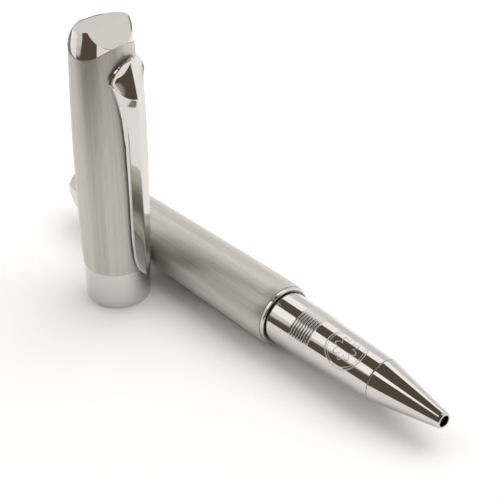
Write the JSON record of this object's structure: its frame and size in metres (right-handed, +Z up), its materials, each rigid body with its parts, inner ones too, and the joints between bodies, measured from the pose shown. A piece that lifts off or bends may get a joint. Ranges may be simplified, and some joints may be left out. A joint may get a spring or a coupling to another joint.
{
  "type": "rollerball pen",
  "caption": "Open rollerball pen: capless body lying beside its upright metal cap with hinged clip; screw-out grip section, nose cone and replaceable refill.",
  "frame": {"origin": "centre of the standing cap's mouth, on the surface that the cap and the pen body rest on", "axes": "+X along the lying pen body towards its nose, +Z up along the cap"},
  "size_m": [0.1143, 0.0284, 0.0701],
  "materials": {
    "brushed_steel": "fine brushing along the length, satin",
    "polished_chrome": "mirror polish with faint turning lines",
    "turned_brass": "bare, turned",
    "black_plastic": "moulded, satin",
    "spring_steel": "drawn wire, bright",
    "refill_shell": "drawn thin tube, satin",
    "refill_nickel": "nickel plate, bright",
    "ink_fibre": "ink-soaked fibre rod",
    "seal_rubber": "smooth, matte"
  },
  "bodies": {
    "barrel": {"barrel_tube": "brushed_steel", "mouth_ring": "polished_chrome", "thread_bush": "turned_brass", "barrel_liner": "turned_brass", "refill_stop": "black_plastic", "rear_plug": "turned_brass", "rear_finial": "polished_chrome", "rear_stud": "spring_steel", "refill_tube": "refill_shell", "refill_end_plug": "black_plastic", "refill_ink": "ink_fibre", "refill_collar": "black_plastic", "refill_tip": "refill_nickel", "refill_ball": "spring_steel"},
    "seal": {"section_o_ring": "seal_rubber"},
    "section": {"grip_section": "polished_chrome", "thread_collar": "turned_brass", "nose_cone": "polished_chrome", "nose_spring": "spring_steel"},
    "cap": {"cap_mouth_band": "polished_chrome", "cap_tube": "brushed_steel", "cap_sleeve": "turned_brass", "cap_grip_ring": "black_plastic", "cap_inner_cup": "black_plastic", "cap_plug": "turned_brass", "cap_finial": "polished_chrome", "cap_finial_screw": "spring_steel", "clip_pin": "spring_steel", "clip_spring": "spring_steel"},
    "clip": {"clip": "polished_chrome"}
  },
  "joints": [
    {"name": "section_travel", "type": "slide", "parent": "barrel", "child": "seal", "axis": [1, 0, 0], "range_m": [-0.0045, 0.003], "deforming": ["nose_spring"]},
    {"name": "section_turn", "type": "hinge", "parent": "seal", "child": "section", "pos_m": [0.0384, 0.01375, 0.00702], "axis": [1, 0, 0], "range_deg": [-2160, 1440]},
    {"name": "cap_lift", "type": "slide", "parent": "barrel", "child": "cap", "axis": [0, 0, 1], "range_m": [0, 0.08]},
    {"name": "clip_open", "type": "hinge", "parent": "cap", "child": "clip", "pos_m": [0.00454, 0.00074, 0.0573], "axis": [0.1616, -0.9869, 0], "range_deg": [0, 6], "stiffness_Nm_per_rad": 2, "deforming": ["clip_spring"]}
  ],
  "couplings": [
    {"joint": "section_travel", "follows": "section_turn", "m_per_rad": 0.00011937}
  ]
}
